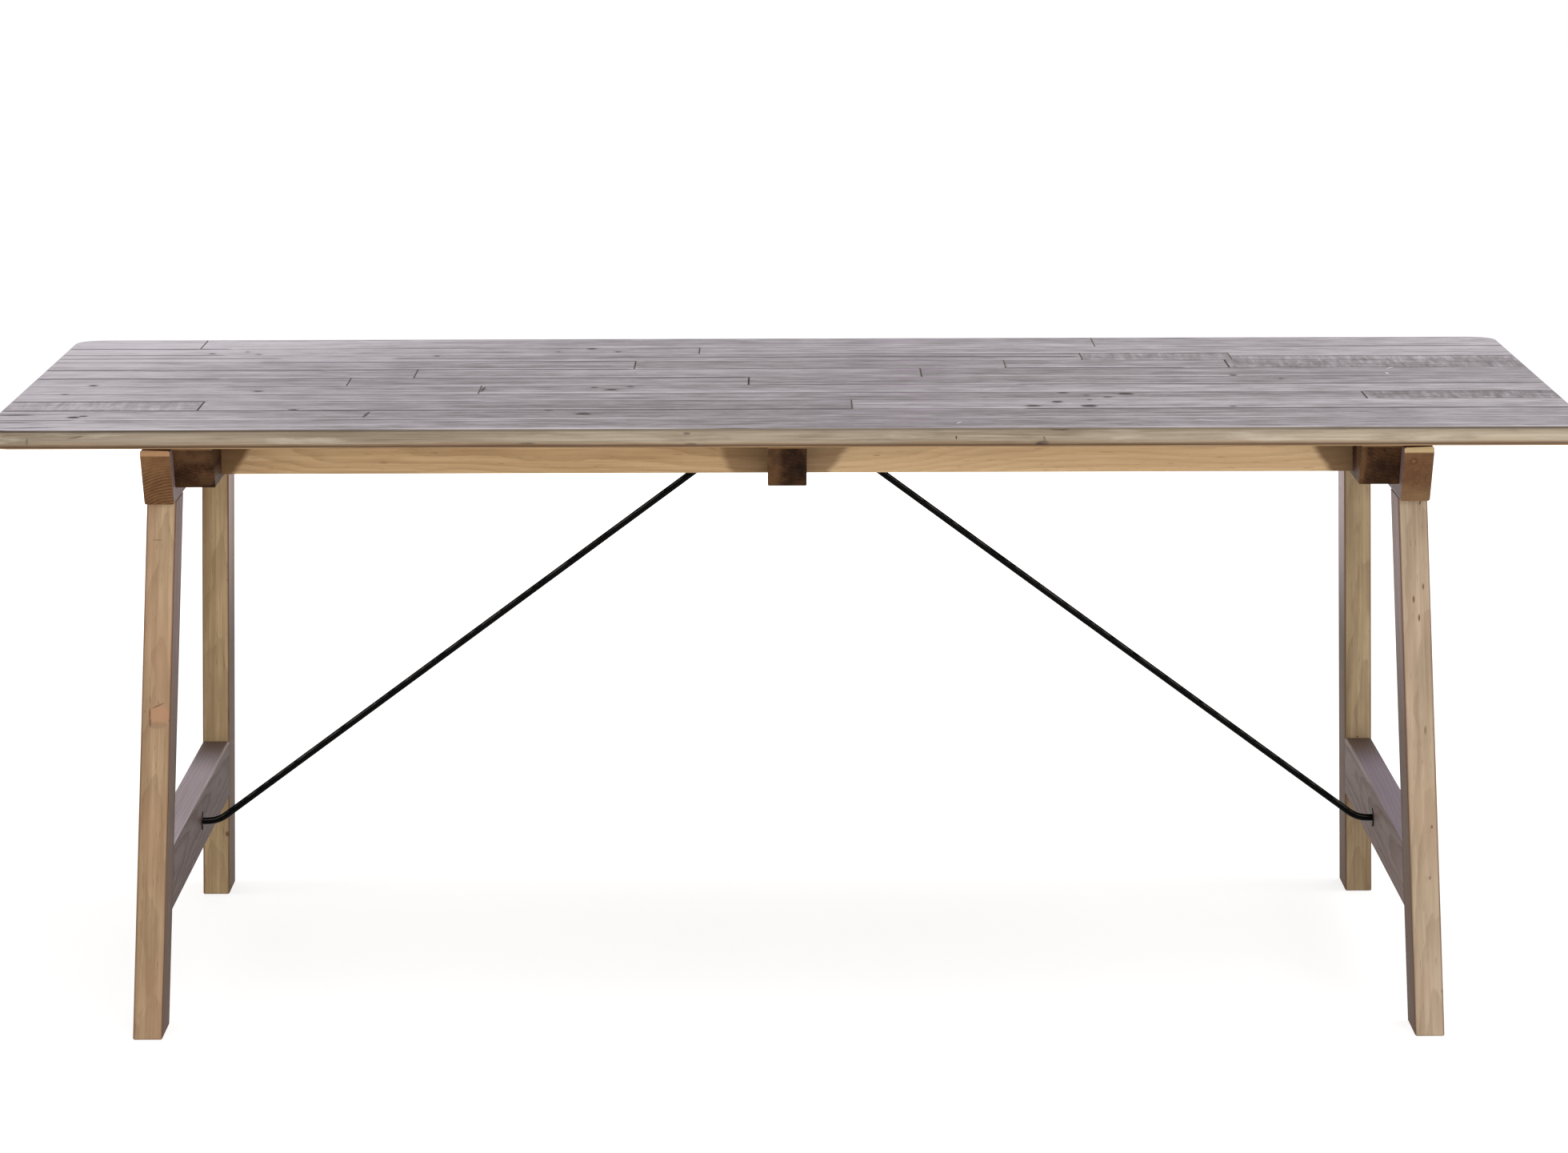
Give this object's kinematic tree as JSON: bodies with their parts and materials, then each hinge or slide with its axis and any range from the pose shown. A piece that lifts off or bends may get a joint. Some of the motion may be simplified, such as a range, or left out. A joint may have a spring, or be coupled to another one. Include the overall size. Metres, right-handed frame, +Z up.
{
  "type": "sawbuck table",
  "caption": "Long dining table: plank top with rounded corners on splayed A-frame trestles, braced by bent steel rods.",
  "frame": {"origin": "on the floor under the middle of the top", "axes": "+X along the table's length, +Y across to its back edge, +Z up"},
  "size_m": [2, 1, 0.777],
  "materials": {
    "washed_plank": "grey-washed reclaimed pine, matt",
    "dark_batten": "dark stained pine",
    "honey_rail": "waxed pine",
    "brown_beam": "waxed pine, mid brown",
    "pale_pine": "pale reclaimed pine, matt",
    "black_steel": "satin black",
    "zinc_steel": "zinc plated"
  },
  "bodies": {
    "root": {"batten_centre": "dark_batten", "batten_left": "dark_batten", "batten_right": "dark_batten", "brace_rod_left": "black_steel", "brace_rod_right": "black_steel", "head_beam_left": "brown_beam", "head_beam_right": "brown_beam", "leg_back_left": "pale_pine", "leg_back_right": "pale_pine", "leg_front_left": "pale_pine", "leg_front_right": "pale_pine", "plank_01": "washed_plank", "plank_02": "washed_plank", "plank_03_left": "washed_plank", "plank_03_middle": "washed_plank", "plank_03_right": "washed_plank", "plank_04_left": "washed_plank", "plank_04_right": "washed_plank", "plank_05_left": "washed_plank", "plank_05_right": "washed_plank", "plank_06_left": "washed_plank", "plank_06_middle": "washed_plank", "plank_06_right": "washed_plank", "plank_07_left": "washed_plank", "plank_07_middle": "washed_plank", "plank_07_right": "washed_plank", "plank_08_left": "washed_plank", "plank_08_mid_left": "washed_plank", "plank_08_mid_right": "washed_plank", "plank_08_right": "washed_plank", "plank_09_left": "washed_plank", "plank_09_middle": "washed_plank", "plank_09_right": "washed_plank", "plank_10_left": "washed_plank", "plank_10_right": "washed_plank", "plank_11_left": "washed_plank", "plank_11_right": "washed_plank", "plank_12_left": "washed_plank", "plank_12_middle": "washed_plank", "plank_12_right": "washed_plank", "plank_screws_centre": "zinc_steel", "plank_screws_left": "zinc_steel", "plank_screws_right": "zinc_steel", "rail_back_left": "honey_rail", "rail_back_right": "honey_rail", "rail_front_left": "honey_rail", "rail_front_right": "honey_rail", "rod_discs_left": "black_steel", "rod_discs_right": "black_steel", "rod_nuts": "black_steel", "rod_washers": "black_steel", "stretcher_left": "pale_pine", "stretcher_right": "pale_pine", "trestle_bolts_left": "zinc_steel", "trestle_bolts_right": "zinc_steel", "trestle_nuts": "zinc_steel", "trestle_washers": "zinc_steel"}
  },
  "joints": []
}
